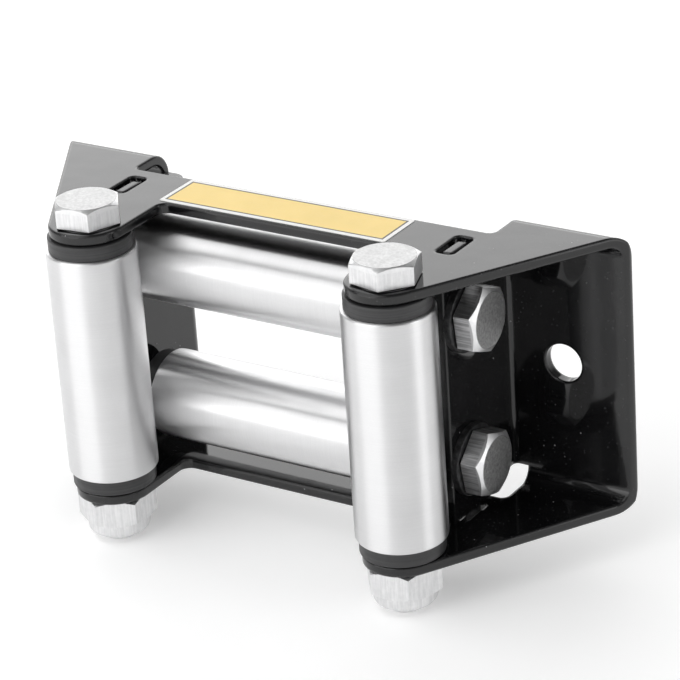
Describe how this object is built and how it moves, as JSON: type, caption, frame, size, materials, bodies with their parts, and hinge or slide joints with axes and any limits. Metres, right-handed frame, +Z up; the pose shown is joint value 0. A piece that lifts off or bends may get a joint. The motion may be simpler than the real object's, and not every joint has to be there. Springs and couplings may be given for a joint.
{
  "type": "roller fairlead",
  "caption": "Roller fairlead: a one-piece bent sheet frame whose upright and level rollers turn on hex bolts and guide a winch cable.",
  "frame": {"origin": "on the rear mounting face, midway between the mounting holes and halfway up the frame", "axes": "+X to the right seen from the front, +Y back towards the winch, +Z up; the cable leaves towards -Y"},
  "size_m": [0.18, 0.0645, 0.1012],
  "materials": {
    "black_coat": "gloss powder coat",
    "roller_steel": "satin, turned",
    "zinc_plated_steel": "bright zinc plate",
    "dark_washer": "black, satin",
    "bush_plastic": "matte, turned",
    "nylon": "natural nylon",
    "decal_vinyl": "printed vinyl, yellow with a white margin"
  },
  "bodies": {
    "frame": {"frame": "black_coat", "decal": "decal_vinyl", "left_bolt": "zinc_plated_steel", "left_nut": "zinc_plated_steel", "left_nylon_ring": "nylon", "right_bolt": "zinc_plated_steel", "right_nut": "zinc_plated_steel", "right_nylon_ring": "nylon", "upper_bolt": "zinc_plated_steel", "upper_washer": "dark_washer", "upper_nut": "zinc_plated_steel", "upper_nylon_ring": "nylon", "lower_bolt": "zinc_plated_steel", "lower_washer": "dark_washer", "lower_nut": "zinc_plated_steel", "lower_nylon_ring": "nylon"},
    "left_roller": {"left_roller": "roller_steel", "left_roller_top_bush": "bush_plastic", "left_roller_bottom_bush": "bush_plastic"},
    "right_roller": {"right_roller": "roller_steel", "right_roller_top_bush": "bush_plastic", "right_roller_bottom_bush": "bush_plastic"},
    "upper_roller": {"upper_roller": "roller_steel", "upper_roller_left_bush": "bush_plastic", "upper_roller_right_bush": "bush_plastic"},
    "lower_roller": {"lower_roller": "roller_steel", "lower_roller_left_bush": "bush_plastic", "lower_roller_right_bush": "bush_plastic"}
  },
  "joints": [
    {"name": "left_roller_spin", "type": "hinge", "parent": "frame", "child": "left_roller", "pos_m": [-0.047, -0.052, 0], "axis": [0, 0, 1], "continuous": true},
    {"name": "right_roller_spin", "type": "hinge", "parent": "frame", "child": "right_roller", "pos_m": [0.047, -0.052, 0], "axis": [0, 0, 1], "continuous": true},
    {"name": "upper_roller_spin", "type": "hinge", "parent": "frame", "child": "upper_roller", "pos_m": [0, -0.0266, 0.021], "axis": [1, 0, 0], "continuous": true},
    {"name": "lower_roller_spin", "type": "hinge", "parent": "frame", "child": "lower_roller", "pos_m": [0, -0.0266, -0.021], "axis": [1, 0, 0], "continuous": true}
  ]
}
